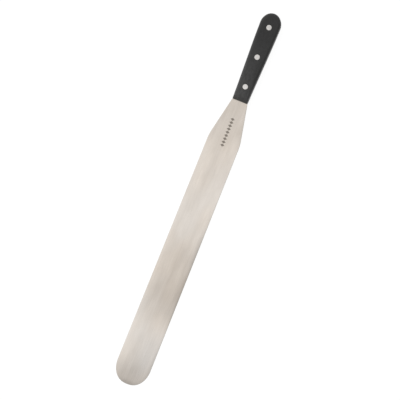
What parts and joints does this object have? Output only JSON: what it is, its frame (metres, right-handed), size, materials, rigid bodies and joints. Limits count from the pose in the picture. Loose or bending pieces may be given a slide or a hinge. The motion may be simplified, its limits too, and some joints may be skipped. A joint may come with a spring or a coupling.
{
  "type": "straight spreading spatula",
  "caption": "Long straight spreading spatula: flexible round-tipped steel blade with a full tang between two black handle scales held by flush rivets.",
  "frame": {"origin": "mid-length and mid-width of the whole tool, on the plane of the lower scale's flat outer face", "axes": "+X from the handle towards the blade's tip, +Y across the width, +Z normal to the blade's upper face"},
  "size_m": [0.471, 0.0416, 0.015],
  "materials": {
    "blade_steel": "fine satin ground, brushed, with polished edges",
    "handle_black": "matt moulded black acetal with softly rounded edges",
    "rivet_steel": "ground flush with the scales"
  },
  "bodies": {
    "root": {"blade": "blade_steel", "upper_scale": "handle_black", "lower_scale": "handle_black", "butt_rivet_barrel": "rivet_steel", "butt_rivet_pin": "rivet_steel", "middle_rivet_barrel": "rivet_steel", "middle_rivet_pin": "rivet_steel", "front_rivet_barrel": "rivet_steel", "front_rivet_pin": "rivet_steel"}
  },
  "joints": []
}
